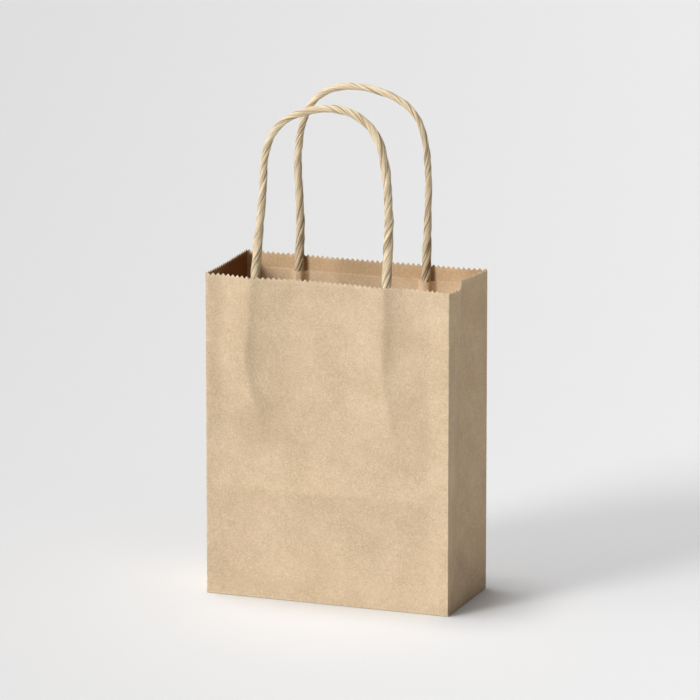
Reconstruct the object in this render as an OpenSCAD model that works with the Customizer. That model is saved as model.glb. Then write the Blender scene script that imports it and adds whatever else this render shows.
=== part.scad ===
// Small kraft paper gift bag with two twisted-paper cord handles, standing open.
// Millimetres. Origin on the floor under the middle of the bottom, front panel at -Y, +Z up.
// The bag is one folded sheet, cut here at its creases so that it can fold flat.

/* [Bag] */
// Width of the front and back panels
bag_w = 140; // [130:1:170]
// Depth of the bag from front to back
bag_d = 62; // [58:1:72]
// Height from the floor to the tips of the pinked mouth
bag_h = 179.5; // [170:0.5:230]
// Thickness of the kraft sheet
paper_t = 0.3; // [0.2:0.05:0.4]
// How far the left gusset's middle crease stands in
left_inset = 1; // [0.5:0.1:4]
// How far the right gusset's middle crease stands in
right_inset = 5.2; // [1:0.1:8]

/* [Mouth] */
// Distance between the tips of two pinked teeth
tooth_pitch = 2.9; // [2:0.1:4]
// Height of a pinked tooth
tooth_h = 1.5; // [1:0.1:2.5]

/* [Handles] */
// Diameter of the twisted paper cord
cord_d = 4.6; // [4:0.1:5.2]
// Height above the floor where a handle bends at the mouth
bend_z = 183; // [183:0.5:184]
// Width of the paper patches that hold a handle
patch_w = 118; // [110:1:122]
// Height of the patches
patch_h = 32; // [26:1:40]
// Drop from the mouth to the patches' top edge
patch_drop = 9; // [6:0.5:14]

/* [Bottom] */
// How far past the middle the front bottom flap reaches
front_flap_over = 9; // [4:0.5:14]
// How far past the middle the back bottom flap reaches
back_flap_over = 8; // [4:0.5:14]
// How far the side tucks reach in
tuck_in = 22; // [14:1:26]
// Width of the glued seam flap
seam_w = 14; // [8:1:18]

/* [Hidden] */

kraft = "#d8bf9b";
kraft_inside = "#c9ad85";
cord_colour = "#e3d6bd";

half_w = bag_w / 2;
half_d = bag_d / 2;
// The bottom's side triangles and the lower strip reach half the depth up the bag
fold_h = half_d;
// Gap left along a crease and along an open edge between two facets
crease_gap = 0.15;
edge_gap = 0.6;
// The corner triangles leave this much of the 45 degrees between them free, to fold past each other
notch = 14;
corner_slope = tan(45 - notch);
corner_cut = 6;
front_corner_cut = 2.5;
tuck_setback = 3;
tuck_rear_setback = 5;
tuck_z = 3 * paper_t;

cord_r = cord_d / 2;
// Distance from a panel's outer face to the middle of the cord
cord_in = 2 * paper_t + cord_r;
cord_slack = 0.1;
cord_end_z = 146;
cord_sides = 10;
stub_gap = 0.4;
patch_top = bag_h - patch_drop;

// Routes of the two handle loops as [x, z], from the left bend to the right bend
front_route = [
    [-41.5, bend_z], [-40.6, 195], [-39.5, 207], [-38.1, 219], [-37.2, 231], [-36.6, 242],
    [-34.1, 252.5], [-29.7, 260.8], [-22.7, 267], [-13.4, 271.1], [-4, 273.5], [5.5, 273.8],
    [15, 271.6], [23.7, 265.7], [29.5, 256.8], [32.1, 246.9], [33.7, 236], [34.3, 225],
    [34.7, 213], [34.3, 201], [33.9, 192], [33.5, bend_z]
];
back_route = [
    [-37.8, bend_z], [-37.4, 195], [-37.8, 207], [-38.4, 219], [-39, 231], [-38.1, 243],
    [-35.5, 254.6], [-30.3, 264.7], [-22.5, 271.1], [-13, 274.4], [-3, 275], [6.9, 273.7],
    [16.3, 271], [24.7, 266.2], [31.1, 258.7], [34.8, 247.8], [36.3, 236], [36.9, 224],
    [36.7, 212], [36.4, 200], [36.1, 191.4], [36, bend_z]
];

// Points of a pinked top edge from x = b back to x = a
function pinked(a, b) =
    let (count = round((b - a) / tooth_pitch), step = (b - a) / count)
    [for (i = [0 : 2 * count]) [b - i * step / 2, bag_h - (i % 2 == 0 ? tooth_h : 0)]];

// Width of one half of a gusset, from its corner to its middle crease
function gusset_l(inset) = norm([half_d - paper_t, inset]);

// Direction of a route at its point i
function heading(route, i) =
    let (last = len(route) - 1, d = route[min(i + 1, last)] - route[max(i - 1, 0)])
    (i == 0 ? [0, 1] : i == last ? [0, -1] : d / norm(d));

// Stations [centre, heading, radius]: a rounded end, the route, and a rounded end
function stations(route) =
    let (last = len(route) - 1, caps = [75, 50, 25])
    concat(
        [for (a = caps) [route[0] - [0, cord_r * sin(a)], [0, 1], cord_r * cos(a)]],
        [for (i = [0 : last]) [route[i], heading(route, i), cord_r]],
        [for (k = [2 : -1 : 0])
            [route[last] - [0, cord_r * sin(caps[k])], [0, -1], cord_r * cos(caps[k])]]
    );

// A sheet drawn in the XZ plane, extruded from y towards +Y
module upright(y, thick) {
    translate([0, y + thick, 0]) rotate([90, 0, 0]) linear_extrude(thick) children();
}

// A half gusset's plane at the front left corner: the child's x runs from the corner to the crease,
// and lift moves the sheet that far inwards
module gusset_plane(inset, lift = 0) {
    translate([-half_w, -half_d + paper_t, 0])
        rotate([0, 0, 90 - atan2(inset, half_d - paper_t)])
            rotate([90, 0, 0])
                translate([0, 0, lift])
                    linear_extrude(paper_t) children();
}

module front_to_rear() {
    mirror([0, 1, 0]) children();
}

module left_to_right() {
    mirror([1, 0, 0]) children();
}

module panel(y, low) {
    upright(y, paper_t)
        polygon(concat([[-half_w, low], [half_w, low]], pinked(-half_w, half_w)));
}

module gusset_front_half(inset) {
    l = gusset_l(inset);
    rise = fold_h / l;
    gusset_plane(inset)
        polygon(concat(
            [[crease_gap, rise * crease_gap + edge_gap],
             [l - crease_gap, rise * (l - crease_gap) + edge_gap]],
            pinked(crease_gap, l - crease_gap)));
}

module gusset_rear_half(inset) {
    l = gusset_l(inset);
    low = fold_h + crease_gap;
    front_to_rear() gusset_plane(inset)
        polygon(concat([[crease_gap, low], [l - crease_gap, low]], pinked(crease_gap, l - crease_gap)));
}

// The part of the gusset's rear half beside the lower strip, which folds onto the strip
module strip_triangle(inset) {
    low = corner_cut + tuck_z + crease_gap;
    high = fold_h - crease_gap;
    front_to_rear() gusset_plane(inset)
        polygon([[crease_gap, low], [low * corner_slope, low], [high * corner_slope, high],
                 [crease_gap, high]]);
}

// The triangle that stands on the bottom's side edge, which folds onto the bottom
module base_triangle(inset) {
    up = fold_h - tuck_z;
    base = 2 * (half_d - paper_t);
    slant = norm([up, inset]);
    rise = slant / (half_d - paper_t);
    peak = base * corner_slope / (rise + corner_slope);
    translate([-half_w, -half_d + paper_t, tuck_z])
        rotate([0, atan2(inset, up), 0])
            rotate([90, 0, 90])
                linear_extrude(paper_t)
                    polygon([
                        [front_corner_cut, crease_gap],
                        [base - corner_cut, crease_gap],
                        [base - corner_cut, corner_cut * corner_slope - crease_gap],
                        [peak, peak * rise - edge_gap],
                        [front_corner_cut, front_corner_cut * rise - edge_gap]
                    ]);
}

// Two patches hold a handle's legs: a flat one on the panel, and one pressed over the cords
module patch_outer() {
    upright(-half_d + paper_t, paper_t)
        translate([-patch_w / 2, patch_top - patch_h]) square([patch_w, patch_h]);
}

module patch_inner(left_x, right_x) {
    translate([0, -half_d + 2 * paper_t, patch_top - patch_h])
        linear_extrude(patch_h)
            difference() {
                union() {
                    translate([-patch_w / 2, 0]) square([patch_w, paper_t]);
                    for (x = [left_x, right_x])
                        translate([x, cord_r]) circle(r = cord_r + cord_slack + paper_t, $fn = 48);
                }
                for (x = [left_x, right_x])
                    translate([x, cord_r]) circle(r = cord_r + cord_slack, $fn = 48);
                translate([-half_w, -cord_d]) square([bag_w, cord_d]);
            }
}

module cord_end(x) {
    top = bend_z - cord_r - stub_gap;
    translate([x, -half_d + cord_in, cord_end_z])
        cylinder(r = cord_r, h = top - cord_end_z, $fn = 40);
}

// A handle loop swept along its route in the plane y
module handle(route, y) {
    rings = stations(route);
    last = len(rings) - 1;
    points = [
        for (s = rings) for (k = [0 : cord_sides - 1])
            let (a = 360 * k / cord_sides, side = s[2] * cos(a))
            [s[0][0] + side * s[1][1], y + s[2] * sin(a), s[0][1] - side * s[1][0]]
    ];
    sides = [
        for (i = [0 : last - 1]) for (k = [0 : cord_sides - 1])
            let (n = (k + 1) % cord_sides, a = i * cord_sides)
            [a + k, a + cord_sides + k, a + cord_sides + n, a + n]
    ];
    start = [for (k = [0 : cord_sides - 1]) k];
    end = [for (k = [cord_sides - 1 : -1 : 0]) last * cord_sides + k];
    polyhedron(points, concat([start, end], sides));
}

module tuck() {
    outer = -half_w + paper_t;
    inner = -half_w + tuck_in;
    front = -half_d + tuck_setback;
    rear = half_d - tuck_rear_setback;
    cut = tuck_in - tuck_setback;
    translate([0, 0, 2 * paper_t])
        linear_extrude(paper_t)
            polygon([[outer, front], [inner, front + cut], [inner, rear - cut], [outer, rear]]);
}

module front_panel() {
    color(kraft) panel(-half_d, 0);
}

module front_patch_outer() {
    color(kraft_inside) patch_outer();
}

module front_patch_inner() {
    color(kraft_inside) patch_inner(front_route[0][0], front_route[len(front_route) - 1][0]);
}

module front_cord_left_end() {
    color(cord_colour) cord_end(front_route[0][0]);
}

module front_cord_right_end() {
    color(cord_colour) cord_end(front_route[len(front_route) - 1][0]);
}

module front_handle() {
    color(cord_colour) handle(front_route, -half_d + cord_in);
}

module back_panel() {
    color(kraft) panel(half_d - paper_t, fold_h + crease_gap);
}

module back_patch_outer() {
    color(kraft_inside) front_to_rear() patch_outer();
}

module back_patch_inner() {
    color(kraft_inside) front_to_rear()
        patch_inner(back_route[0][0], back_route[len(back_route) - 1][0]);
}

module back_cord_left_end() {
    color(cord_colour) front_to_rear() cord_end(back_route[0][0]);
}

module back_cord_right_end() {
    color(cord_colour) front_to_rear() cord_end(back_route[len(back_route) - 1][0]);
}

module back_handle() {
    color(cord_colour) handle(back_route, half_d - cord_in);
}

module left_gusset_front() {
    color(kraft) gusset_front_half(left_inset);
}

module left_gusset_rear() {
    color(kraft) gusset_rear_half(left_inset);
}

module right_gusset_front() {
    color(kraft) left_to_right() gusset_front_half(right_inset);
}

module right_gusset_rear() {
    color(kraft) left_to_right() gusset_rear_half(right_inset);
}

// The end of the sheet, glued inside the right gusset beside the back corner
module side_seam_flap() {
    start = tuck_setback;
    low = fold_h + tuck_setback;
    high = bag_h - tooth_h;
    color(kraft_inside) left_to_right() front_to_rear()
        gusset_plane(right_inset, paper_t)
            translate([start, low]) square([seam_w, high - low]);
}

module back_lower_strip() {
    low = paper_t + crease_gap;
    high = fold_h - crease_gap;
    color(kraft) upright(half_d - paper_t, paper_t)
        translate([-half_w, low]) square([bag_w, high - low]);
}

module bottom_front_flap() {
    front = -half_d + paper_t + crease_gap;
    color(kraft) translate([-half_w, front, 0]) cube([bag_w, front_flap_over - front, paper_t]);
}

// The back flap steps up one thickness to lie on the front flap
module bottom_back_flap() {
    rear = half_d - paper_t - crease_gap;
    step = front_flap_over + crease_gap;
    color(kraft) translate([-half_w, 0, 0])
        rotate([90, 0, 90])
            linear_extrude(bag_w)
                polygon([
                    [step, 0], [rear, 0], [rear, paper_t], [step + paper_t, paper_t],
                    [step + paper_t, 2 * paper_t], [-back_flap_over, 2 * paper_t],
                    [-back_flap_over, paper_t], [step, paper_t]
                ]);
}

module bottom_left_tuck() {
    color(kraft_inside) tuck();
}

module bottom_right_tuck() {
    color(kraft_inside) left_to_right() tuck();
}

module left_base_triangle() {
    color(kraft) base_triangle(left_inset);
}

module right_base_triangle() {
    color(kraft) left_to_right() base_triangle(right_inset);
}

module left_strip_triangle() {
    color(kraft) strip_triangle(left_inset);
}

module right_strip_triangle() {
    color(kraft) left_to_right() strip_triangle(right_inset);
}

front_panel();
front_patch_outer();
front_patch_inner();
front_cord_left_end();
front_cord_right_end();
front_handle();
back_panel();
back_patch_outer();
back_patch_inner();
back_cord_left_end();
back_cord_right_end();
back_handle();
left_gusset_front();
left_gusset_rear();
right_gusset_front();
right_gusset_rear();
side_seam_flap();
back_lower_strip();
bottom_front_flap();
bottom_back_flap();
bottom_left_tuck();
bottom_right_tuck();
left_base_triangle();
right_base_triangle();
left_strip_triangle();
right_strip_triangle();
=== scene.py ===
"""A small kraft paper gift bag with two twisted paper cord handles, dressed over its CAD frame."""

import math

import bpy
import numpy as np
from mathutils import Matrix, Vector


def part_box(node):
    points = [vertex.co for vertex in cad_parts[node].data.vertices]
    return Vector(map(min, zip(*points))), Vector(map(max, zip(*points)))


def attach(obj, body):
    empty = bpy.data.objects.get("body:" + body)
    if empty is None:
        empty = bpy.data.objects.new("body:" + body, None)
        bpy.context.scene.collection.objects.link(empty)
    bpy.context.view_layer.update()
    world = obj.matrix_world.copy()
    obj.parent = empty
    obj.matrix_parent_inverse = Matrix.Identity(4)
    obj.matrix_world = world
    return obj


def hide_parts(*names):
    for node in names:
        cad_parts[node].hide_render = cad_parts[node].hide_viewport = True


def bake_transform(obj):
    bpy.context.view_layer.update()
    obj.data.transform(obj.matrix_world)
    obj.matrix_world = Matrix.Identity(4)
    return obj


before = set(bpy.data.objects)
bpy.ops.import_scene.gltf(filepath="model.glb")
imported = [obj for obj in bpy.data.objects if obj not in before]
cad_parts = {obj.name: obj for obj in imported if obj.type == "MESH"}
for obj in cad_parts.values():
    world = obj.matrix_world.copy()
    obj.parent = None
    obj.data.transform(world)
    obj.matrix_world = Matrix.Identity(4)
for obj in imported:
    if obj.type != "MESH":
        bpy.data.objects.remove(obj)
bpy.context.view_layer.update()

MM = 0.001

# --- sizes, from the frame -------------------------------------------------------------------
PANEL_LO, PANEL_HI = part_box("front_panel")
HALF_W = PANEL_HI.x
HALF_D = -PANEL_LO.y
HEIGHT = PANEL_HI.z
FOLD_H = HALF_D  # the bottom's side triangles and the lower strip reach this high
PATCH_LO, PATCH_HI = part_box("front_patch_outer")
PATCH_TOP = PATCH_HI.z
PATCH_LOW = PATCH_LO.z
PATCH_HALF_W = PATCH_HI.x

# --- sizes of the sheets -----------------------------------------------------------------------
PAPER = 0.24 * MM
PATCH_PAPER = 0.14 * MM
TOOTH_H = 1.5 * MM
TOOTH_PITCH = 2.9 * MM
LEFT_INSET = 1.0 * MM  # how far each gusset's middle crease stands in
RIGHT_INSET = 5.2 * MM
HINGE_Z = 0.9 * MM  # height of the bottom's side creases
BEND_R = 0.35 * MM  # radius of the outside of a crease
CELL = 1.45 * MM  # spacing of the points on a sheet
FOOT_STOPS = np.array([0, 0.05, 0.14, 0.26, 0.4, 0.7]) * MM  # heights of the points round a foot
NEAR_STOPS = np.array([0, 0.25, 0.6]) * MM  # distances of the flat's first points from a crease
ARC_SHARES = np.array([0.33, 0.67, 1.0])  # where the points of half a crease lie


# --- camera ------------------------------------------------------------------------------------
AZIMUTH, ELEVATION = math.radians(20.543), math.radians(13.553)
TARGET = Vector((0.00197, 0.0, 0.13527))
DISTANCE = 3.531
SENSOR_WIDTH = 36
FOCAL_LENGTH = 334.9
CLIP_NEAR, CLIP_FAR = 0.1, 50


def make_camera():
    back = Vector((
        math.sin(AZIMUTH) * math.cos(ELEVATION),
        -math.cos(AZIMUTH) * math.cos(ELEVATION),
        math.sin(ELEVATION),
    ))
    data = bpy.data.cameras.new("camera")
    data.sensor_width = SENSOR_WIDTH
    data.lens = FOCAL_LENGTH
    data.clip_start, data.clip_end = CLIP_NEAR, CLIP_FAR
    camera = bpy.data.objects.new("camera", data)
    bpy.context.collection.objects.link(camera)
    camera.location = TARGET + back * DISTANCE
    camera.rotation_mode = "QUATERNION"
    camera.rotation_quaternion = (-back).to_track_quat("-Z", "Y")
    bpy.context.scene.camera = camera


# --- curves and noise --------------------------------------------------------------------------
NOISE_START = 100  # keeps the numbers of a noise's cells above zero


def smoothstep(t):
    """From 0 to 1 as t goes from 0 to 1, level at both ends."""
    return t * t * (3 - 2 * t)


def bump(x, width):
    """1 at x = 0, falling smoothly to 0 at a distance of width."""
    x = np.clip(np.abs(np.asarray(x, float)) / width, 0, 1)
    return (1 - x * x) ** 2


def window(a, length, margin):
    """1 in the middle of a span, falling smoothly to 0 at its ends."""
    return smoothstep(np.clip(np.minimum(a, length - a) / margin, 0, 1))


def smooth_noise(x, seed, cell):
    """A smooth random curve of x from -1 to 1, whose bends are about one cell apart."""
    cells = 512
    table = np.random.default_rng(seed).uniform(-1, 1, cells)
    x = np.asarray(x, float) / cell + NOISE_START
    i = np.floor(x).astype(int)
    f = smoothstep(x - i)
    return table[i % cells] * (1 - f) + table[(i + 1) % cells] * f


def smooth_noise_2d(x, y, seed, cell):
    """A smooth random surface over x and y from -1 to 1, whose bends are about one cell apart."""
    cells = 64
    table = np.random.default_rng(seed).uniform(-1, 1, (cells, cells))
    x = (np.asarray(x, float) + 1) / cell + NOISE_START
    y = np.asarray(y, float) / cell + NOISE_START
    i, j = np.floor(x).astype(int), np.floor(y).astype(int)
    f, g = smoothstep(x - i), smoothstep(y - j)
    i0, i1, j0, j1 = i % cells, (i + 1) % cells, j % cells, (j + 1) % cells
    low = table[i0, j0] * (1 - f) + table[i1, j0] * f
    high = table[i0, j1] * (1 - f) + table[i1, j1] * f
    return low * (1 - g) + high * g


# --- mesh helpers ------------------------------------------------------------------------------
def make_object(name, points, faces, material, floats, vectors=None):
    mesh = bpy.data.meshes.new(name)
    mesh.from_pydata([tuple(p) for p in points], [], faces)
    mesh.update()
    mesh.polygons.foreach_set("use_smooth", [True] * len(mesh.polygons))
    for key, values in floats.items():
        layer = mesh.attributes.new(key, "FLOAT", "POINT")
        layer.data.foreach_set("value", np.asarray(values, np.float32).ravel())
    for key, values in (vectors or {}).items():
        layer = mesh.attributes.new(key, "FLOAT_VECTOR", "POINT")
        layer.data.foreach_set("vector", np.asarray(values, np.float32).ravel())
    mesh.materials.append(material)
    obj = bpy.data.objects.new(name, mesh)
    bpy.context.collection.objects.link(obj)
    return obj


def add(obj, body, node_name):
    """Puts a piece on the body it rides on and hides the CAD node it replaces."""
    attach(obj, body)
    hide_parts(node_name)


def rim_of(rows, columns):
    """Numbers of the points round a grid's rim, in order."""
    rim = list(range(columns))
    rim += [r * columns + columns - 1 for r in range(1, rows)]
    rim += [(rows - 1) * columns + c for c in range(columns - 2, -1, -1)]
    rim += [r * columns for r in range(rows - 2, 0, -1)]
    return rim


def sheet_mesh(name, grid, inward, material, wear_and_highlight, bounce_light=0.0, deep=0.0, thick=PAPER):
    """A closed thin sheet: grid holds the outer face's points [rows, columns, 3], and inward the
    unit vectors towards the other face. The attributes say where its edges are paler from wear and
    painted highlight, how much painted bounce light each face takes, and how much painted shade the
    inner face takes inside the bag."""
    rows, columns = grid.shape[:2]
    count = rows * columns
    faces = []
    for r in range(rows - 1):
        for c in range(columns - 1):
            a = r * columns + c
            b, d, e = a + 1, a + columns + 1, a + columns
            faces.append((a, b, d, e))
            faces.append((e + count, d + count, b + count, a + count))
    rim = rim_of(rows, columns)
    rim_edges = list(zip(rim, rim[1:] + rim[:1]))
    faces += [(b, a, a + count, b + count) for a, b in rim_edges]
    points = np.vstack([grid.reshape(-1, 3), (grid + inward * thick).reshape(-1, 3)])
    # The attributes carry edges paler from wear and painted highlight, each face's share of painted bounce
    # light, and the inner face's share of painted shade
    obj = make_object(name, points, faces, material, {
        "wear_and_highlight": np.tile(wear_and_highlight.ravel(), 2),
        "inside": np.repeat([bounce_light, 1.0], count),
        "deep": np.concatenate([np.zeros(count), np.broadcast_to(deep, wear_and_highlight.shape).ravel()]),
    })
    # The cut edges stay sharp
    cut = {frozenset(edge) for edge in rim_edges}
    cut |= {frozenset((a + count, b + count)) for a, b in rim_edges}
    sharp = [frozenset(edge.vertices) in cut for edge in obj.data.edges]
    obj.data.attributes.new("sharp_edge", "BOOLEAN", "EDGE").data.foreach_set("value", sharp)
    return obj


# --- shader nodes --------------------------------------------------------------------------------
def set_inputs(tree, target, inputs):
    """Links an input to a socket, or sets it to a plain value."""
    for key, value in inputs.items():
        if isinstance(value, bpy.types.NodeSocket):
            tree.links.new(value, target.inputs[key])
        else:
            target.inputs[key].default_value = value


def node(tree, kind, inputs=None, **settings):
    made = tree.nodes.new(kind)
    for key, value in settings.items():
        setattr(made, key, value)
    set_inputs(tree, made, inputs or {})
    return made


def maths(tree, operation, *values):
    return node(tree, "ShaderNodeMath", dict(enumerate(values)), operation=operation).outputs[0]


def attribute(tree, name, output="Fac"):
    return node(tree, "ShaderNodeAttribute", attribute_name=name).outputs[output]


def noise(tree, place, scale, detail, rough, distortion=0.0):
    made = node(tree, "ShaderNodeTexNoise", {
        "Vector": place, "Scale": scale, "Detail": detail, "Roughness": rough, "Distortion": distortion,
    })
    return made.outputs["Fac"]


def stretched(tree, place, scale):
    return node(tree, "ShaderNodeMapping", {"Vector": place, "Scale": scale}).outputs[0]


def mix_colour(tree, factor, a, b, blend="MIX"):
    made = node(tree, "ShaderNodeMix", data_type="RGBA", blend_type=blend)
    set_inputs(tree, made, {0: factor, 6: a, 7: b})
    return made.outputs[2]


def spread(tree, value, low, high, to_low=0.0, to_high=1.0):
    """Maps a value's range from low..high onto to_low..to_high."""
    made = node(tree, "ShaderNodeMapRange", {
        "Value": value, "From Min": low, "From Max": high, "To Min": to_low, "To Max": to_high,
    })
    return made.outputs["Result"]


def lay_over(tree, colour, layers):
    """Lays colours over a colour. Each row holds a pattern, the range of it that counts, the share
    of the new colour at the range's two ends, and the new colour."""
    for pattern, low, high, share_low, share_high, over in layers:
        colour = mix_colour(tree, spread(tree, pattern, low, high, share_low, share_high), colour, over)
    return colour


def tinted(tree, colour, name, tint):
    """Multiplies a colour by a tint where the attribute of that name is 1."""
    return mix_colour(tree, attribute(tree, name), colour, mix_colour(tree, 1.0, colour, tint, "MULTIPLY"))


def new_material(name, roughness, specular):
    material = bpy.data.materials.new(name)
    material.use_nodes = True
    tree = material.node_tree
    shader = tree.nodes["Principled BSDF"]
    shader.inputs["Roughness"].default_value = roughness
    shader.inputs["Specular IOR Level"].default_value = specular
    return material, tree, shader


# --- materials -----------------------------------------------------------------------------------
KRAFT_TONE, KRAFT_PALE = (0.728, 0.563, 0.378, 1), (0.86, 0.74, 0.56, 1)
PATCH_TONE, PATCH_PALE = (0.78, 0.635, 0.465, 1), (0.88, 0.78, 0.63, 1)
DULL_SHARE = (0.87, 0.845, 0.81, 1)  # a paper's cloudy places, as a share of its tone
DARK_PULP = (0.10, 0.05, 0.02, 1)
SPECK = (0.16, 0.09, 0.04, 1)
DARK_HAIR, DARK_HAIR_SCALE = (0.36, 0.235, 0.12, 1), 560
PALE_HAIR, PALE_HAIR_SCALE = (0.93, 0.82, 0.64, 1), 640
# painted bounce light: inner faces are made brighter and more orange, as by light bounced about inside the
# bag
BOUNCE_LIGHT_TINT = (1.14, 1.05, 0.935, 1)
# painted shade: a dark brown laid on the left gusset's inner face, which lies in shade inside the bag
PAINTED_SHADE_TINT = (0.33, 0.155, 0.05, 1)
WEAR_AND_HIGHLIGHT_SHARE = 1.25  # how much paler than its palest fibres the paper is at its edges, from wear and a painted highlight
PAPER_BUMP, PAPER_BUMP_DEPTH = 0.35, 0.05 * MM

CORD_TONE, CORD_PALE = (0.58, 0.43, 0.245, 1), (0.88, 0.765, 0.55, 1)
CORD_CLOUD = (0.74, 0.56, 0.34, 1)
CORD_FLECK = (0.90, 0.80, 0.62, 1)
# painted shade laid in the cord's pleat grooves
CORD_GROOVE_SHADE = (0.19, 0.105, 0.04, 1)
CORD_BUMP, CORD_BUMP_DEPTH = 0.8, 0.16 * MM


def add_hairs(tree, place, colour):
    """Single fibres: short curved hairs, dark ones and pale ones."""
    for scale, tint in ((DARK_HAIR_SCALE, DARK_HAIR), (PALE_HAIR_SCALE, PALE_HAIR)):
        lines = noise(tree, place, scale, 1, 0.4, distortion=1.4)
        off = maths(tree, "ABSOLUTE", maths(tree, "SUBTRACT", lines, 0.5))
        shown = spread(tree, noise(tree, place, 0.43 * scale, 1, 0.4), 0.57, 0.66, 0.0, 0.24)
        hair = maths(tree, "MULTIPLY", spread(tree, off, 0.0, 0.045, 1.0, 0.0), shown)
        colour = mix_colour(tree, hair, colour, tint)
    return colour


def paper_material(name, tone, pale):
    """Unbleached kraft: a cloudy brown with long fibres, small dark specks and edges paled by wear and
    painted highlight.
    """
    material, tree, shader = new_material(name, roughness=0.78, specular=0.28)
    place = node(tree, "ShaderNodeTexCoord").outputs["Object"]
    clouds = noise(tree, place, 48, 4, 0.55)  # patches about 20 mm across
    mottle = noise(tree, place, 300, 3, 0.6)  # flocks of pulp about 3 mm across
    grain = noise(tree, place, 1150, 3, 0.7)
    fibres = noise(tree, stretched(tree, place, (1.0, 1.0, 0.12)), 900, 2, 0.5, distortion=0.6)
    cross = noise(tree, stretched(tree, place, (0.14, 0.14, 1.0)), 900, 2, 0.5, distortion=0.6)
    specks = noise(tree, place, 1300, 1, 0.4)

    dull = tuple(share * part for share, part in zip(DULL_SHARE, tone))
    colour = mix_colour(tree, spread(tree, clouds, 0.32, 0.66), dull, tone)
    colour = lay_over(tree, colour, (
        (mottle, 0.36, 0.64, 0.075, 0.0, DARK_PULP),
        (grain, 0.34, 0.56, 0.15, 0.0, DARK_PULP),
        (grain, 0.52, 0.70, 0.0, 0.34, pale),
        (fibres, 0.62, 0.80, 0.0, 0.16, pale),
        (cross, 0.60, 0.80, 0.0, 0.20, dull),
        (specks, 0.70, 0.78, 0.0, 0.35, SPECK),
    ))
    colour = add_hairs(tree, place, colour)
    # Painted bounce light on every inner face, and a share of it on the gussets' outer faces
    colour = tinted(tree, colour, "inside", BOUNCE_LIGHT_TINT)
    # Painted shade: the left gusset's inner face is darkened, more towards the back
    colour = tinted(tree, colour, "deep", PAINTED_SHADE_TINT)
    # Paler edges: wear, with a painted highlight along the creases and the teeth's cut edges
    rubbed_and_lit = maths(tree, "MULTIPLY", attribute(tree, "wear_and_highlight"), spread(tree, mottle, 0.3, 0.6, 0.35, 1.0))
    colour = mix_colour(tree, rubbed_and_lit, colour, tuple(min(1, WEAR_AND_HIGHLIGHT_SHARE * part) for part in pale))
    tree.links.new(colour, shader.inputs["Base Color"])

    relief = maths(tree, "ADD", maths(tree, "ADD", mottle, fibres), grain)
    bumps = node(tree, "ShaderNodeBump",
                 {"Height": relief, "Strength": PAPER_BUMP, "Distance": PAPER_BUMP_DEPTH})
    tree.links.new(bumps.outputs[0], shader.inputs["Normal"])
    tree.links.new(spread(tree, mottle, 0.3, 0.7, 0.68, 0.84), shader.inputs["Roughness"])
    return material


def cord_material():
    """Twisted paper: pale, with fine pleats that run along the twist and painted shade in their grooves.
    """
    material, tree, shader = new_material("cord_paper", roughness=0.62, specular=0.35)
    along = attribute(tree, "twist", "Vector")
    place = node(tree, "ShaderNodeTexCoord").outputs["Object"]
    streaks = noise(tree, along, 5.5, 5, 0.7)
    broad = noise(tree, place, 110, 2, 0.5)
    fine = noise(tree, place, 1700, 2, 0.5)
    colour = mix_colour(tree, spread(tree, streaks, 0.40, 0.58), CORD_TONE, CORD_PALE)
    colour = lay_over(tree, colour, (
        (broad, 0.35, 0.65, 0.0, 0.30, CORD_CLOUD),
        (fine, 0.40, 0.70, 0.0, 0.20, CORD_FLECK),
        # painted shade in the pleats' grooves
        (attribute(tree, "groove"), 0.06, 0.65, 0.0, 0.80, CORD_GROOVE_SHADE),
    ))
    tree.links.new(colour, shader.inputs["Base Color"])
    bumps = node(tree, "ShaderNodeBump", {
        "Height": maths(tree, "ADD", streaks, fine), "Strength": CORD_BUMP, "Distance": CORD_BUMP_DEPTH,
    })
    tree.links.new(bumps.outputs[0], shader.inputs["Normal"])
    return material


# --- cords -------------------------------------------------------------------------------------
CORD_Y = HALF_D - 2.9 * MM  # distance of a cord's middle from the bag's middle
CORD_END_ZS = (146 * MM, 158 * MM, 170.5 * MM)  # heights along a glued end
CORD_STEP = 0.5 * MM
CORD_FULLNESS = 0.955  # share of the widths below that the skin's mean takes up
AROUND = 96  # points round the skin
TWIST_PITCH = 33 * MM
TWIST_PATTERN = 55 * MM  # length of cord over which the twist's pattern moves on by 1
LOOP_WAVER = 0.6 * MM  # how far a loop wavers in y
WAVER_Z, WAVER_REACH = 240 * MM, 50 * MM  # height at which it wavers most, and how far that fades
HELD_Z, HELD_FADE = 186 * MM, 10 * MM  # below this a leg comes to follow its dented panel
PRESSED_Z = 182 * MM  # below this a cord is pressed flat on its panel
PANEL_SKIN = 0.34 * MM  # how far inside the panel's outer face a pressed cord stays

# Routes of the two loops as [x, z] in metres, from the left bend to the right bend
FRONT_ROUTE = [
    (-0.0415, 0.183), (-0.0406, 0.195), (-0.0395, 0.207), (-0.0381, 0.219), (-0.0372, 0.231),
    (-0.0366, 0.242), (-0.0341, 0.2525), (-0.0297, 0.2608), (-0.0227, 0.267), (-0.0134, 0.2711),
    (-0.004, 0.2735), (0.0055, 0.2738), (0.015, 0.2716), (0.0237, 0.2657), (0.0295, 0.2568),
    (0.0321, 0.2469), (0.0337, 0.236), (0.0343, 0.225), (0.0347, 0.213), (0.0343, 0.201),
    (0.0339, 0.192), (0.0335, 0.183),
]
BACK_ROUTE = [
    (-0.0378, 0.183), (-0.0374, 0.195), (-0.0378, 0.207), (-0.0384, 0.219), (-0.039, 0.231),
    (-0.0381, 0.243), (-0.0355, 0.2546), (-0.0303, 0.2647), (-0.0225, 0.2711), (-0.013, 0.2744),
    (-0.003, 0.275), (0.0069, 0.2737), (0.0163, 0.271), (0.0247, 0.2662), (0.0311, 0.2587),
    (0.0348, 0.2478), (0.0363, 0.236), (0.0369, 0.224), (0.0367, 0.212), (0.0364, 0.2),
    (0.0361, 0.1914), (0.036, 0.183),
]
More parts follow.
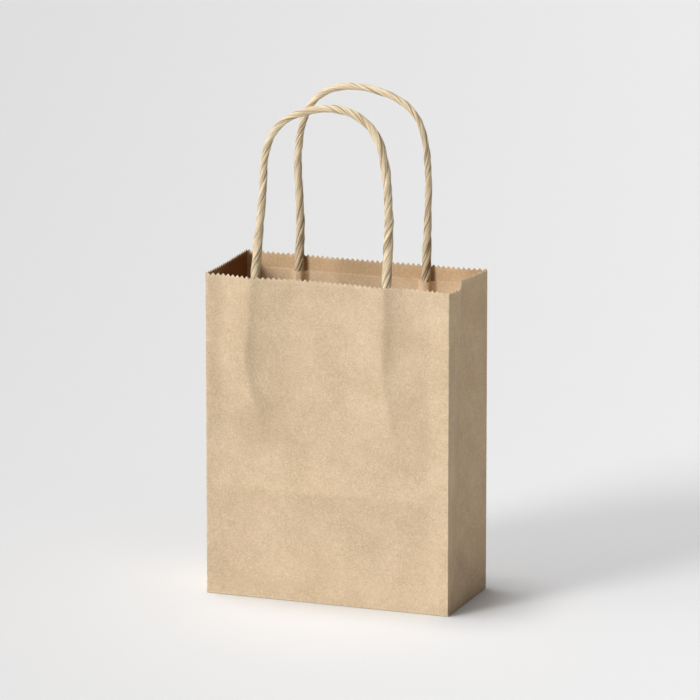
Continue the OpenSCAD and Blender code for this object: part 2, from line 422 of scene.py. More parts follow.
# How thick the twisted paper is at each point of a route, in millimetres
FRONT_WIDTH = [5.3, 5.2, 4.8, 4.4, 4.4, 4.25, 4.0, 3.9, 3.95, 4.1, 4.25,
               4.5, 4.5, 4.7, 5.1, 5.1, 4.95, 4.9, 5.0, 5.3, 5.5, 5.5]
BACK_WIDTH = [5.2, 4.8, 4.5, 4.45, 4.4, 4.2, 3.9, 3.75, 3.85, 4.1, 4.0,
              3.95, 3.9, 3.75, 3.7, 3.7, 3.8, 3.95, 4.0, 4.35, 4.8, 5.2]

PLEATS = 17  # round the cord, every third one a major one
PLEAT_SHIFT = 0.35  # how far a pleat may start from its even place, as a share of their spacing
PLEAT_CHANGE = 0.9  # how much a pleat's opening changes along the cord
STEEP_LIP = 0.35  # width of a pleat's steep lip, as a share of its other lip's
OVAL, THREE_SIDED = 0.05, 0.035  # how far the cord's section is from round
# Pleats of two kinds: how far they wander round the cord in radians, the length over which they
# open and close, their usual and greatest opening, their width in radians, how deep they cut as a
# share of the radius, and how much painted shade their grooves take
MAJOR_PLEAT = {
    "wander": 0.45, "run": 0.013, "usual": 0.65, "most": 1.0, "width": 0.21, "cut": 0.17, "dark": 1.0,
}
MINOR_PLEAT = {
    "wander": 0.7, "run": 0.008, "usual": 0.3, "most": 0.85, "width": 0.11, "cut": 0.105, "dark": 0.7,
}
PLEAT_LIP = 0.04  # height of the swelling beside a pleat, as a share of the radius


def smooth_route(points, step):
    """A Catmull-Rom curve through the points, cut into steps of about the given length."""
    pts = np.array(points, float)
    pts = np.vstack([2 * pts[0] - pts[1], pts, 2 * pts[-1] - pts[-2]])
    out = []
    for a, b, c, d in zip(pts, pts[1:], pts[2:], pts[3:]):
        n = max(1, int(round(np.linalg.norm((c - b)[:3]) / step)))
        for t in np.arange(n) / n:
            out.append(0.5 * ((2 * b) + (c - a) * t + (2 * a - 5 * b + 4 * c - d) * t**2
                              + (3 * b - a - 3 * c + d) * t**3))
    out.append(pts[-2])
    return np.array(out)


def pleated_radius(phi, run, seed):
    """Share of the cord's radius at each point of its skin, and how far down in a pleat it lies, which
    sets its painted shade.

    One wide strip of paper is crumpled lengthways and twisted, so its pleats wind round together,
    but each opens, closes and wanders on its own."""
    column = run[:, None]
    radius = 1 + OVAL * np.cos(2 * phi + 2.5 * smooth_noise(column, seed + 3, 0.03))
    radius += THREE_SIDED * np.cos(3 * phi + 3 * smooth_noise(column, seed + 4, 0.02))
    groove = np.zeros_like(phi)
    starts = np.random.default_rng(seed).uniform(-PLEAT_SHIFT, PLEAT_SHIFT, PLEATS)
    for k in range(PLEATS):
        pleat = MAJOR_PLEAT if k % 3 == 0 else MINOR_PLEAT
        wander = smooth_noise(column, seed + 10 + k, 0.016) * pleat["wander"]
        centre = 2 * math.pi * (k + starts[k]) / PLEATS + wander
        opening = smooth_noise(column, seed + 30 + k, pleat["run"])
        depth = np.clip(pleat["usual"] + PLEAT_CHANGE * opening, 0, pleat["most"])
        width = pleat["width"]
        gap = (phi - centre + math.pi) % (2 * math.pi) - math.pi
        # One lip of a pleat is steep and laps over the other
        lip = np.where(gap > 0, np.exp(-gap / width), np.exp(gap / (STEEP_LIP * width))) * depth
        radius -= pleat["cut"] * lip
        radius += PLEAT_LIP * depth * np.exp(-((gap + 2 * width) / (1.6 * width))**2)
        groove = np.maximum(groove, lip * pleat["dark"])
    return radius, groove


def cord_line(route, widths, y, seed, relief):
    """A cord's middle line from inside one patch, up round the loop and back down, with its
    thickness and the length run at each point."""
    left, right = route[0][0], route[-1][0]
    points = [(left, y, z, widths[0] * MM) for z in CORD_END_ZS]
    points += [(x, y, z, wide * MM) for (x, z), wide in zip(route, widths)]
    points += [(right, y, z, widths[-1] * MM) for z in reversed(CORD_END_ZS)]
    line = smooth_route(points, CORD_STEP)
    line, width = line[:, :3], line[:, 3]
    run = np.concatenate([[0], np.cumsum(np.linalg.norm(np.diff(line, axis=0), axis=1))])
    # The loop wavers, and the glued ends follow their dented panel
    free = bump(line[:, 2] - WAVER_Z, WAVER_REACH)
    line[:, 1] += free * smooth_noise(run, seed + 50, 0.05) * LOOP_WAVER
    held = np.clip((HELD_Z - line[:, 2]) / HELD_FADE, 0, 1)
    line[:, 1] -= math.copysign(1, y) * held * relief(line[:, 0], np.minimum(line[:, 2], HEIGHT))
    return line, width, run


def cord_skin(line, width, run, seed, outwards, relief):
    """Points of a cord's skin [ring, around, 3], their angle in the twist, and their depth in a pleat."""
    tangent = np.gradient(line, axis=0)
    tangent /= np.linalg.norm(tangent, axis=1)[:, None]
    side = np.cross(tangent, (0, 1, 0))
    side /= np.linalg.norm(side, axis=1)[:, None]
    up = np.cross(side, tangent)

    theta = np.arange(AROUND) * 2 * math.pi / AROUND
    turn = 2 * math.pi * run / TWIST_PITCH + 0.8 * smooth_noise(run, seed, 0.03)
    phi = theta[None, :] + turn[:, None]
    radius, groove = pleated_radius(phi, run, seed)
    thick = 1 + 0.03 * smooth_noise(run, seed + 1, 0.012) + 0.02 * smooth_noise(run, seed + 2, 0.006)
    radius *= (0.5 * CORD_FULLNESS * width * thick)[:, None]
    across = np.cos(theta)[None, :, None] * side[:, None, :]
    upwards = np.sin(theta)[None, :, None] * up[:, None, :]
    skin = line[:, None, :] + radius[..., None] * (across + upwards)

    pressed = line[:, 2] < PRESSED_Z
    held = skin[pressed]
    limit = HALF_D - PANEL_SKIN - relief(held[..., 0], np.minimum(held[..., 2], HEIGHT))
    skin[pressed, :, 1] = outwards * np.minimum(outwards * held[..., 1], limit)
    return skin, phi, groove


def tube_faces(rings):
    """Faces of a tube whose two end points come after its rings."""
    faces = []
    for r in range(rings - 1):
        here, ahead = r * AROUND, (r + 1) * AROUND
        for k in range(AROUND):
            n = (k + 1) % AROUND
            faces.append((here + k, here + n, ahead + n, ahead + k))
    start, end, last = rings * AROUND, rings * AROUND + 1, (rings - 1) * AROUND
    for k in range(AROUND):
        n = (k + 1) % AROUND
        faces.append((start, n, k))
        faces.append((end, last + k, last + n))
    return faces


def cord(name, route, widths, y, seed, body, relief):
    """One length of twisted paper, glued to its panel at both ends."""
    line, width, run = cord_line(route, widths, y, seed, relief)
    skin, phi, groove = cord_skin(line, width, run, seed, math.copysign(1, y), relief)
    twist = np.stack([np.cos(phi), np.sin(phi), np.repeat(run[:, None] / TWIST_PATTERN, AROUND, 1)], -1)
    twist = np.vstack([twist.reshape(-1, 3), twist[0, 0], twist[-1, 0]])
    verts = np.vstack([skin.reshape(-1, 3), line[0], line[-1]])
    groove = np.concatenate([groove.ravel(), [0, 0]])
    obj = make_object(name, verts, tube_faces(len(line)), cord_paper, {"groove": groove}, {"twist": twist})
    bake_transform(obj)
    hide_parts(body + "_handle", body + "_cord_left_end", body + "_cord_right_end")


# --- the sheet's facets ------------------------------------------------------------------------
EDGE_WEAR_AND_HIGHLIGHT = 0.4  # how pale a crease and a foot are, from 0 to 1: wear, and on a crease a painted highlight
CREASE_WEAR_AND_HIGHLIGHT = 0.15  # share of that on a gusset's middle crease
MOUTH_WEAR = 0.12
# the teeth's cut edges: the paper's paler core, with a painted highlight where they catch the light
TOOTH_WEAR_AND_HIGHLIGHT = 0.30
WEAR_REACH, FOOT_WEAR_REACH = 0.4 * MM, 0.5 * MM
GUSSET_BOUNCE_LIGHT = 0.45  # share of the painted bounce light on the gussets' outer faces, which browns their shaded sides
LEFT_PAINTED_SHADE = 0.95  # share of the painted shade, standing in for the shade inside the bag, on the left gusset's inner face
PAINTED_SHADE_NEAR = 0.35  # share of that painted shade at the front corner
PAINTED_SHADE_DEPTH = 1.1 * HALF_D  # how far behind the front corner the painted shade is full
TEETH_FOOT = 0.15 * MM  # height of the plain strip just below the teeth


def arc(point, direction, inwards, turn, forward):
    """Points and inward normals of half a crease, from the end of a facet's flat."""
    sign = 1 if turn > 0 else -1
    points, normals = [], []
    for a in ARC_SHARES * abs(turn) / 2:
        points.append(point + forward * direction * BEND_R * math.sin(a)
                      + sign * inwards * BEND_R * (1 - math.cos(a)))
        normals.append(inwards * math.cos(a) - forward * sign * direction * math.sin(a))
    return points, normals


def plan_path(start, end, turn_start, turn_end, columns):
    """Points [x, y] and inward normals of a facet seen from above, from crease to crease. At each
    end the sheet bends through half of the given angle, which is positive towards the inside."""
    length = np.linalg.norm(end - start)
    d = (end - start) / length
    normal = np.array([-d[1], d[0]])
    cuts = [BEND_R * math.tan(abs(turn) / 2) for turn in (turn_start, turn_end)]
    inner = length * np.arange(1, columns) / columns
    stops = np.concatenate([cuts[0] + NEAR_STOPS, inner, length - cuts[1] - NEAR_STOPS[::-1]])
    pts = [start + d * s for s in stops]
    p0, n0 = arc(pts[0], d, normal, turn_start, -1)
    p1, n1 = arc(pts[-1], d, normal, turn_end, 1)
    return np.array(p0[::-1] + pts + p1), np.array(n0[::-1] + [normal] * len(stops) + n1)


def wall_heights(share, teeth, low, top, foot):
    """Heights [row, column] of an upright facet's points."""
    base_z = np.array([low(s) for s in share])
    if top is None:
        valley = np.abs(((share * teeth) % 1) * 2 - 1)  # 1 at a valley, 0 at a tip
        edge_z = HEIGHT - TOOTH_H * valley
        body_z = np.full_like(edge_z, HEIGHT - TOOTH_H - TEETH_FOOT)
    else:
        edge_z = np.array([top(s) for s in share])
        body_z = edge_z
    tall = float((edge_z - base_z).max())
    v = np.linspace(0, 1, max(3, int(round(tall / CELL))))
    if foot:
        v = np.concatenate([FOOT_STOPS / tall, v[1:]])
    z = base_z[None, :] + (body_z - base_z)[None, :] * v[:, None]
    return np.vstack([z, edge_z]) if top is None else z


def wall_wear_and_highlight(z, along, length, ends, mouth, foot):
    """How pale an upright facet is from wear along its creases, its pinked mouth and its foot, with a
    painted highlight on its creases and teeth.
    """
    near_start = ends[0] * np.exp(-along / WEAR_REACH)
    near_end = ends[1] * np.exp(-(length - along) / WEAR_REACH)
    wear_and_highlight = EDGE_WEAR_AND_HIGHLIGHT * np.maximum(near_start, near_end)
    if mouth:
        below = np.clip(HEIGHT - TOOTH_H - z, 0, 1)
        wear_and_highlight = np.maximum(wear_and_highlight, MOUTH_WEAR * np.exp(-below / WEAR_REACH))
        wear_and_highlight[-1] = TOOTH_WEAR_AND_HIGHLIGHT
    if foot:
        wear_and_highlight = np.maximum(wear_and_highlight, EDGE_WEAR_AND_HIGHLIGHT * np.exp(-z / FOOT_WEAR_REACH))
    return wear_and_highlight


def wall(name, body, node_name, start, end, turns, low, top=None, relief=None, lean=0.0, ends=(1, 1),
         foot=False, bounce_light=0.0, deep=0.0):
    """An upright facet from start to end in plan. low and top give its lower and upper edge's height
    at a share of the way along; without top the upper edge is the pinked mouth. relief(x or y, z)
    moves it inwards, lean tilts it inwards by that much over the height of the bottom's triangles,
    ends says how pale its two upright edges are from wear and painted highlight, and foot rounds its
    lower edge under. The last two arguments give its shares of painted bounce light and painted shade."""
    start, end = np.array(start, float), np.array(end, float)
    length = np.linalg.norm(end - start)
    teeth = max(1, int(round(length / TOOTH_PITCH)))
    pts, nrm = plan_path(start, end, turns[0], turns[1], 2 * teeth)
    d = (end - start) / length
    share = np.clip(((pts - start) @ d) / length, 0, 1)
    z = wall_heights(share, teeth, low, top, foot)
    grid = np.zeros(z.shape + (3,))
    grid[..., :2] = pts[None]
    grid[..., 2] = z
    inward = np.zeros_like(grid)
    inward[..., :2] = nrm[None]
    shift = lean * np.clip((z - HINGE_Z) / (FOLD_H - HINGE_Z), 0, 1)
    if relief:
        where = grid[..., 0] if abs(d[0]) > abs(d[1]) else grid[..., 1]
        shift = shift + relief(where, z)
    grid += inward * shift[..., None]
    if foot:
        turned = np.arcsin(np.clip(1 - z / BEND_R, 0, 1))[..., None]
        grid += inward * (BEND_R * (1 - np.cos(turned)))
        inward = inward * np.cos(turned) + np.array([0, 0, 1.0]) * np.sin(turned)
    along = np.repeat((share * length)[None], len(z), 0)
    wear_and_highlight = wall_wear_and_highlight(z, along, length, ends, top is None, foot)
    # Painted shade on the left gusset's inner face, from a share at the front corner to full further back
    shade = deep * np.clip(PAINTED_SHADE_NEAR + (1 - PAINTED_SHADE_NEAR) * (grid[..., 1] + HALF_D) / PAINTED_SHADE_DEPTH, 0, 1)
    add(sheet_mesh(name, grid, inward, kraft, wear_and_highlight, bounce_light, shade), body, node_name)


# --- the sheet's relief --------------------------------------------------------------------------
PANEL_HOLLOW = 1.8 * MM  # how far a wide panel sinks in between its edges
PANEL_EDGE = 14 * MM  # the hollow starts over this distance from an upright crease
PANEL_RISE = 20 * MM  # and over this height from a lower edge
CREASE_Z = 62 * MM  # the crease where the bag was pressed flat with its bottom folded up
CREASE_SIZE = 3.7 * MM
CREASE_ABOVE, CREASE_BELOW = 12 * MM, 30 * MM
CREASE_X, CREASE_HALF_W = -15 * MM, 115 * MM
PANEL_WAVES = ((0.48 * MM, 0.042), (0.15 * MM, 0.018))  # height and spacing of soft waves
GUSSET_WAVES = ((0.35 * MM, 0.045), (0.08 * MM, 0.015))
GUSSET_EDGE, GUSSET_RISE = 9 * MM, 30 * MM  # the gussets' waves start over these distances

# A ridge over each cord leg: x at the mouth, at its bend and at its low end, the heights of the bend
# and of the low end, how far it stands out, and how wide it falls off above and below the bend
FRONT_DENTS = (
    (-0.0420, -0.0465, -0.0340, 0.132, 0.080, 3.60 * MM, 0.0095, 0.0080),
    (0.0335, 0.0325, 0.0450, 0.128, 0.072, 2.40 * MM, 0.0044, 0.0085),
)
BACK_DENTS = (
    (-0.0375, -0.0340, -0.0420, 0.130, 0.085, 1.00 * MM, 0.0060, 0.0070),
    (0.0360, 0.0400, 0.0310, 0.120, 0.080, 1.00 * MM, 0.0060, 0.0080),
)
RIDGE_LEFT = 13 * MM  # fall-off on a ridge's left
RIDGE_FADE = 40 * MM
FALL_ABOVE, FALL_SPAN = 10 * MM, 25 * MM  # it changes from this far above the bend, over this height
# The soft dent right of a ridge: depth as a share of the ridge, distance and width in fall-offs
DENT_SHARE, DENT_AWAY, DENT_WIDTH = 0.22, 2.8, 1.4

# How far the right side stands out at each distance from the front corner, at the mouth
BULGE_Y = np.array([0, 10, 26, 30, 31]) * MM
BULGE_OUT = np.array([0, 4.0, 1.9, 0.4, 0]) * MM
BULGE_Z = 50 * MM

SEAM_FROM, SEAM_TO = 14 * MM, 28 * MM  # the glued flap's edges, as y
SEAM_STEP, SEAM_SHARP = 0.06 * MM, 0.5 * MM  # height and half width of the step over an edge
SEAM_RISE = 10 * MM


def waves(x, z, seed, sizes):
    """Soft waves of two sizes."""
    (high, wide), (low, narrow) = sizes
    return high * smooth_noise_2d(x, z, seed, wide) + low * smooth_noise_2d(x, z, seed + 1, narrow)


def panel_dents(x, z, lines, seed):
    """How far a wide panel stands in from its flat: hollow between its edges, pushed out along the
    two legs of its handle, and softly dented beside them."""
    x, z = np.asarray(x, float), np.asarray(z, float)
    out = PANEL_HOLLOW * np.ones(np.broadcast(x, z).shape)
    for top_x, mid_x, low_x, mid_z, low_z, size, fall_top, fall_low in lines:
        upper = top_x + (mid_x - top_x) * np.clip((HEIGHT - z) / (HEIGHT - mid_z), 0, 1)
        middle = upper + (low_x - mid_x) * np.clip((mid_z - z) / (mid_z - low_z), 0, 1)
        fall = fall_top + (fall_low - fall_top) * np.clip((mid_z + FALL_ABOVE - z) / FALL_SPAN, 0, 1)
        fade = smoothstep(np.clip((z - low_z) / RIDGE_FADE, 0, 1))
        across = x - middle
        # Round on the left and sharp on the right, as the sheet is tented over the cord
        ridge = np.where(across < 0, np.exp(-(across / RIDGE_LEFT)**2), np.exp(-np.abs(across) / fall))
        out = out - size * ridge * fade
        dent = np.exp(-((across - DENT_AWAY * fall) / (DENT_WIDTH * fall))**2)
        out = out + DENT_SHARE * size * dent * fade
    out = out + waves(x, z, seed, PANEL_WAVES)
    away = np.where(z > CREASE_Z, (z - CREASE_Z) / CREASE_ABOVE, (CREASE_Z - z) / CREASE_BELOW)
    return out - CREASE_SIZE * np.exp(-away) * bump(x - CREASE_X, CREASE_HALF_W)


def panel_relief(x, z, lines, seed, low_z):
    """A wide panel's relief, which starts from nothing at its upright creases and its lower edge."""
    rise = np.clip((np.asarray(z) - low_z) / PANEL_RISE, 0, 1)
    return panel_dents(x, z, lines, seed) * window(np.asarray(x) + HALF_W, 2 * HALF_W, PANEL_EDGE) * rise


def front_relief(x, z):
    return panel_relief(x, z, FRONT_DENTS, 21, 0.0)


def back_relief(x, z):
    return panel_relief(x, z, BACK_DENTS, 41, FOLD_H)


def mouth_bulge(y, z):
    """How far the right side stands out near the front corner, more and more towards the mouth."""
    profile = np.interp(np.asarray(y) + HALF_D, BULGE_Y, BULGE_OUT)
    return profile * np.clip((z - BULGE_Z) / (HEIGHT - BULGE_Z), 0, 1)


def gusset_relief(seed, near_front, bulge=None):
    """Makes the relief of one half of a gusset."""
    low_y = -HALF_D if near_front else 0.0

    def relief(y, z):
        rise = np.clip((z - FOLD_H) / GUSSET_RISE, 0, 1)
        out = waves(y, z, seed, GUSSET_WAVES) * window(y - low_y, HALF_D, GUSSET_EDGE) * rise
        return out - bulge(y, z) if bulge else out

    return relief


def seam_relief(y, z):
    """The rear gusset half's own waves, and the step where its glued flap lies behind."""
    out = gusset_relief(33, False)(y, z)
    flap = np.tanh((y - SEAM_FROM) / SEAM_SHARP) - np.tanh((y - SEAM_TO) / SEAM_SHARP)
    return out - SEAM_STEP * flap * np.clip((z - FOLD_H) / SEAM_RISE, 0, 1)


# --- the sheet's walls ---------------------------------------------------------------------------
EDGE_MIN = 0.15 * MM  # least height of a sloping edge
STRIP_OVER = 0.03 * MM  # the strip's triangles reach this far over the crease above them


def ground(share):
    return 0.0


def level(share):
    return FOLD_H


def strip_top(share):
    return FOLD_H + STRIP_OVER


def rising(share):
    return max(EDGE_MIN, FOLD_H * share)


def falling(share):
    return max(EDGE_MIN, FOLD_H * (1 - share))


def peak(share):
    return max(HINGE_Z, FOLD_H * (1 - abs(2 * share - 1)))


def facet(name, *place, **how):
    """A facet on a side of the bag, whose body and CAD node have the same name."""
    wall(name + "_sheet", name, name, *place, bounce_light=GUSSET_BOUNCE_LIGHT, **how)


def right_side():
    tilt = math.atan2(RIGHT_INSET, HALF_D)
    bend = math.radians(90) + tilt
    front, crease, rear = (HALF_W, -HALF_D), (HALF_W - RIGHT_INSET, 0.0), (HALF_W, HALF_D)
    facet("right_gusset_front", front, crease, (bend, -2 * tilt), rising,
          relief=gusset_relief(32, True, mouth_bulge), ends=(1, CREASE_WEAR_AND_HIGHLIGHT))
    facet("right_gusset_rear", crease, rear, (-2 * tilt, bend), level,
          relief=seam_relief, ends=(CREASE_WEAR_AND_HIGHLIGHT, 1))
    facet("right_strip_triangle", crease, rear, (0, bend), falling, top=strip_top, ends=(0, 1))
    facet("right_base_triangle", front, rear, (0, 0), ground, top=peak,
          lean=RIGHT_INSET, ends=(0, 0), foot=True)
    return bend


def left_side():
    tilt = math.atan2(LEFT_INSET, HALF_D)
    bend = math.radians(90) + tilt
    front, crease, rear = (-HALF_W, -HALF_D), (-(HALF_W - LEFT_INSET), 0.0), (-HALF_W, HALF_D)
    facet("left_gusset_rear", rear, crease, (bend, -2 * tilt), level,
          relief=gusset_relief(35, False), ends=(1, CREASE_WEAR_AND_HIGHLIGHT), deep=LEFT_PAINTED_SHADE)
    facet("left_gusset_front", crease, front, (-2 * tilt, bend), falling,
          relief=gusset_relief(30, True), ends=(CREASE_WEAR_AND_HIGHLIGHT, 1), deep=LEFT_PAINTED_SHADE)
    facet("left_strip_triangle", rear, crease, (bend, 0), rising, top=strip_top, ends=(1, 0))
    facet("left_base_triangle", rear, front, (0, 0), ground, top=peak,
          lean=LEFT_INSET, ends=(0, 0), foot=True)
    return bend


def seam_flap():
    """The glued seam flap, inside the right gusset's rear half."""
    rear_dir = np.array([RIGHT_INSET, HALF_D]) / math.hypot(RIGHT_INSET, HALF_D)
    inside = np.array([-rear_dir[1], rear_dir[0]]) * (PAPER + 0.06 * MM)
    corner = np.array([HALF_W, HALF_D]) + inside
    far, near = 17 * MM, 3 * MM  # distances from the rear corner
    low_z, high_z = 0.034, 0.178
    wall("side_seam_flap_sheet", "right_gusset_rear", "side_seam_flap",
         corner - rear_dir * far, corner - rear_dir * near, (0, 0),
         lambda share: low_z, top=lambda share: high_z, relief=seam_relief)


def walls():
    """The sheet's upright facets. Seen from above the outline runs anticlockwise."""
    right_bend = right_side()
    left_bend = left_side()
    wall("front_sheet", "front", "front_panel", (-HALF_W, -HALF_D), (HALF_W, -HALF_D),
         (left_bend, right_bend), ground, relief=front_relief, foot=True)
    wall("back_sheet", "back", "back_panel", (HALF_W, HALF_D), (-HALF_W, HALF_D),
         (right_bend, left_bend), level, relief=back_relief)
    wall("back_lower_strip_sheet", "back_strip", "back_lower_strip", (HALF_W, HALF_D), (-HALF_W, HALF_D),
         (right_bend, left_bend), ground, top=level, foot=True)
    seam_flap()


# --- the bottom ----------------------------------------------------------------------------------
FLAP_EDGE = HALF_W - 0.45 * MM
FLAP_HEM = HALF_D - BEND_R
FLAP_LIFT = 0.3 * MM  # the back flap lies this high, on the front flap's inner face
FLAP_COLUMNS = 49
FRONT_FLAP_REACH, BACK_FLAP_REACH = 9 * MM, -8 * MM  # how far each flap reaches, as y
STEP_Y, STEP_RUN = 11.2 * MM, 0.4 * MM  # where the back flap climbs over the front flap's edge
TAPER, TAPER_Y, TAPER_RUN = 0.7 * MM, 27 * MM, 4 * MM  # how the back flap narrows towards its hem
FRONT_FLAP_WEAR, FLAP_WEAR = 0.3, 0.5
TUCK_OUTER, TUCK_INNER = HALF_W - 1.1 * MM, HALF_W - 22 * MM
TUCK_FRONT, TUCK_REAR = -HALF_D + 3 * MM, HALF_D - 5 * MM
TUCK_CUT = 19 * MM  # length of a tuck's slanted corners
TUCK_Z = 0.62 * MM


def spaced(start, end):
    """Places from start to end, about two cells apart."""
    return np.linspace(start, end, max(3, int(abs(end - start) / (2 * CELL))))


def back_flap_z(y):
    """Height of the back flap's underside, which climbs over the front flap's hidden edge."""
    return FLAP_LIFT / (1 + math.exp(min(40, (y - STEP_Y) / STEP_RUN)))


def back_flap_inset(y):
    """How far each side of the back flap stands in near its hem."""
    return TAPER * max(0.0, (y - TAPER_Y) / TAPER_RUN)


def flat_flap(name, rows, height, worn_edge):
    """A flap on the floor: rows of [x0, x1, y], the last one its free edge; height(y) is its
    underside's height."""
    last = FLAP_COLUMNS - 1
    grid = np.array([[(x0 + (x1 - x0) * k / last, y, height(y)) for k in range(FLAP_COLUMNS)]
                     for x0, x1, y in rows])
    inward = np.zeros_like(grid)
    inward[..., 2] = 1
    wear_and_highlight = np.zeros(grid.shape[:2])
    wear_and_highlight[-1] = worn_edge
    add(sheet_mesh(name + "_sheet", grid, inward, kraft, wear_and_highlight), "bottom", name)


def tuck(name, side):
    """A side tuck, a trapezium inside the bag's bottom."""
    rows = []
    rear_part = np.linspace(TUCK_REAR, TUCK_REAR - TUCK_CUT, 9)
    middle_part = np.linspace(TUCK_REAR - TUCK_CUT, TUCK_FRONT + TUCK_CUT, 5)[1:-1]
    front_part = np.linspace(TUCK_FRONT + TUCK_CUT, TUCK_FRONT, 9)
    for y in np.concatenate([rear_part, middle_part, front_part]):
        reach = min(1.0, (TUCK_REAR - y) / TUCK_CUT, (y - TUCK_FRONT) / TUCK_CUT)
        x_in = TUCK_OUTER + (TUCK_INNER - TUCK_OUTER) * max(0.02, reach)
        rows.append((-TUCK_OUTER, -x_in, y) if side < 0 else (x_in, TUCK_OUTER, y))
    flat_flap(name, rows, lambda y: TUCK_Z, FLAP_WEAR)


def bottom():
    """The block bottom: two side tucks inside, the back flap on them, and the front flap outermost.
    Rows run from the back to the front, so that the outer face looks down."""
    front_rows = [(-FLAP_EDGE, FLAP_EDGE, y) for y in spaced(FRONT_FLAP_REACH, -FLAP_HEM)]
    flat_flap("bottom_front_flap", front_rows, ground, FRONT_FLAP_WEAR)
    # Its rows are closest where it climbs over the front flap's edge
    climb = np.linspace(14.5 * MM, 8 * MM, 16)
    ys = np.concatenate([spaced(FLAP_HEM, 15 * MM), climb, spaced(7 * MM, BACK_FLAP_REACH)])
    back_rows = [(-FLAP_EDGE + back_flap_inset(y), FLAP_EDGE - back_flap_inset(y), y) for y in ys]
    flat_flap("bottom_back_flap", back_rows, back_flap_z, FLAP_WEAR)
    tuck("bottom_left_tuck", -1)
    tuck("bottom_right_tuck", 1)


# --- patches -------------------------------------------------------------------------------------
PATCH_COLUMNS, PATCH_ROWS = 83, 23
COVER_STOPS = np.linspace(-7.5, 7.5, 51) * MM  # more columns over a cord leg, from its middle
CLOSEST = 0.1 * MM  # columns nearer than this to the last one are left out
PATCH_GLUE = 0.05 * MM
PATCH_WEAR, PATCH_WEAR_REACH = 0.06, 0.2 * MM
COVER_R = 2.95 * MM  # half the width of the round part of a patch over a cord
COVER_MID = 2.6 * MM  # how far in from the panel's outer face that round part's centre lies
COVER_TOP = 5.45 * MM
TENT_TOP, TENT_REACH = 5.17 * MM, 3.9 * MM
COVER_CREASES = 0.05 * MM


def cord_cover(x, z, legs):
    """How far inside the panel's outer face a patch lies that is pressed over two cord legs."""
    off = 2 * PAPER + 2 * PATCH_GLUE + 0 * x
    for leg in legs:
        away = np.abs(x - leg)
        dome = np.sqrt(np.clip(COVER_R**2 - away**2, 0, 1)) + COVER_MID
        tent = TENT_TOP * np.exp(-(away / TENT_REACH)**2.4)
        off = np.maximum(off, np.where(away < COVER_R, np.minimum(dome, COVER_TOP), 0))
        off = np.maximum(off, tent)
    return off + COVER_CREASES * smooth_noise_2d(x, z, 61, 0.006)


def patch(face, layer, legs, relief):
    """One patch; the inner one has more columns over the cord legs."""
    sign = -1 if face == "front" else 1
    stops = set(np.linspace(-PATCH_HALF_W, PATCH_HALF_W, PATCH_COLUMNS))
    if layer == "inner":
        for leg in legs:
            stops |= set(leg + COVER_STOPS)
    xs = np.array(sorted(stops))
    xs = xs[np.concatenate([[True], np.diff(xs) > CLOSEST])] * (-sign)
    x, z = np.meshgrid(xs, np.linspace(PATCH_LOW, PATCH_TOP, PATCH_ROWS))
    off = cord_cover(x, z, legs) if layer == "inner" else PAPER + PATCH_GLUE + 0 * x
    grid = np.stack([x, sign * (HALF_D - off - relief(x, z)), z], -1)
    inward = np.zeros_like(grid)
    inward[..., 1] = -sign
    edge = np.minimum(PATCH_TOP - z, z - PATCH_LOW)
    wear_and_highlight = PATCH_WEAR * np.exp(-edge / PATCH_WEAR_REACH)
    name = face + "_patch_" + layer
    obj = sheet_mesh(name + "_sheet", grid, inward, kraft_patch, wear_and_highlight, thick=PATCH_PAPER)
    add(obj, face, name)


def patches():
    """Two paper patches hold each handle: a flat one on the panel, and one pressed over the cords."""
    for face, route, relief in (("front", FRONT_ROUTE, front_relief), ("back", BACK_ROUTE, back_relief)):
        for layer in ("outer", "inner"):
            patch(face, layer, (route[0][0], route[-1][0]), relief)


# --- stage ---------------------------------------------------------------------------------------
FLOOR_Z = -0.15 * MM  # just below the bag, so that the two faces don't coincide
FLOOR_HALF = 9.0
# painted light: the floor's tone rises from left to right as the light does
FLOOR_LEFT, FLOOR_RIGHT = (0.695, 0.695, 0.695, 1), (0.81, 0.81, 0.81, 1)
SHADE_FROM, SHADE_TO = -0.3, 0.4  # metres to the camera's right between which the painted light changes
LIGHT_AIM = Vector((0, 0, 0.1))

# Lights: azimuth from the front towards the right, and elevation, in degrees
WARM_WHITE = (1.0, 0.99, 0.98)
COOL_WHITE = (0.99, 0.99, 1.0)
SUNS = (  # name, azimuth, elevation, strength, apparent size in degrees, colour
    ("key", -33, 26, 1.92, 20, WARM_WHITE),
    ("side_key", -62, 20, 0.75, 40, WARM_WHITE),
    ("top", -90, 82, 2.22, 22, COOL_WHITE),
)
SUN_DISTANCE = 2.5
FILL_AZIMUTH, FILL_ELEVATION, FILL_DISTANCE = 42, 45, 1.4
FILL_SIZE, FILL_POWER = 0.6, 1.1
SKY_COLOUR, SKY_STRENGTH = (0.95, 0.97, 1.0, 1), 0.03


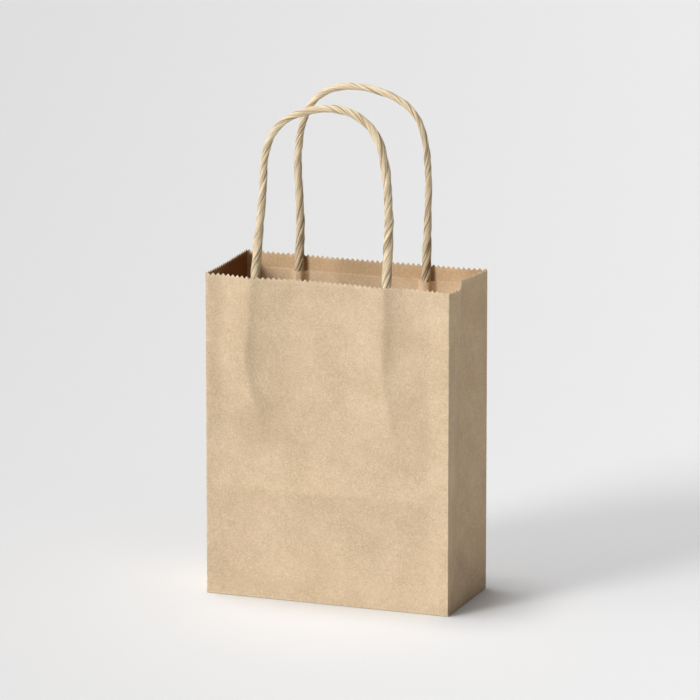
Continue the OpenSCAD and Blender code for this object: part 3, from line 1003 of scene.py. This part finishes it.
def stage():
    mesh = bpy.data.meshes.new("floor")
    corners = [(-1, -1), (1, -1), (1, 1), (-1, 1)]
    mesh.from_pydata([(FLOOR_HALF * x, FLOOR_HALF * y, FLOOR_Z) for x, y in corners], [], [(0, 1, 2, 3)])
    material, tree, shader = new_material("floor_white", roughness=0.9, specular=0.1)
    # Painted light: a little darker on the left than on the right, for light that is stronger on the right
    place = node(tree, "ShaderNodeTexCoord").outputs["Object"]
    rightwards = (math.cos(AZIMUTH), math.sin(AZIMUTH), 0)
    across = node(tree, "ShaderNodeVectorMath", {0: place, 1: rightwards}, operation="DOT_PRODUCT")
    shade = spread(tree, across.outputs["Value"], SHADE_FROM, SHADE_TO)
    colour = mix_colour(tree, shade, FLOOR_LEFT, FLOOR_RIGHT)
    tree.links.new(colour, shader.inputs["Base Color"])
    mesh.materials.append(material)
    floor = bpy.data.objects.new("floor", mesh)
    bpy.context.collection.objects.link(floor)


def place_light(data, azimuth, elevation, distance):
    """Aims a light at the bag."""
    az, el = math.radians(azimuth), math.radians(elevation)
    away = Vector((math.sin(az) * math.cos(el), -math.cos(az) * math.cos(el), math.sin(el)))
    light = bpy.data.objects.new(data.name, data)
    bpy.context.collection.objects.link(light)
    light.location = LIGHT_AIM + away * distance
    light.rotation_mode = "QUATERNION"
    light.rotation_quaternion = away.to_track_quat("Z", "Y")


def lights():
    for name, azimuth, elevation, strength, size, colour in SUNS:
        data = bpy.data.lights.new(name, "SUN")
        data.energy = strength
        data.angle = math.radians(size)
        data.color = colour
        place_light(data, azimuth, elevation, SUN_DISTANCE)
    fill = bpy.data.lights.new("fill", "AREA")
    fill.size = FILL_SIZE
    fill.energy = FILL_POWER
    fill.color = WARM_WHITE
    place_light(fill, FILL_AZIMUTH, FILL_ELEVATION, FILL_DISTANCE)
    world = bpy.data.worlds.new("world")
    world.use_nodes = True
    background = world.node_tree.nodes["Background"]
    background.inputs["Color"].default_value = SKY_COLOUR
    background.inputs["Strength"].default_value = SKY_STRENGTH
    bpy.context.scene.world = world
    bpy.context.scene.view_settings.view_transform = "Standard"


make_camera()
kraft = paper_material("kraft_paper", KRAFT_TONE, KRAFT_PALE)
kraft_patch = paper_material("patch_paper", PATCH_TONE, PATCH_PALE)
cord_paper = cord_material()
cord("front_cord", FRONT_ROUTE, FRONT_WIDTH, -CORD_Y, 100, "front", front_relief)
cord("back_cord", BACK_ROUTE, BACK_WIDTH, CORD_Y, 200, "back", back_relief)
walls()
bottom()
patches()
stage()
lights()
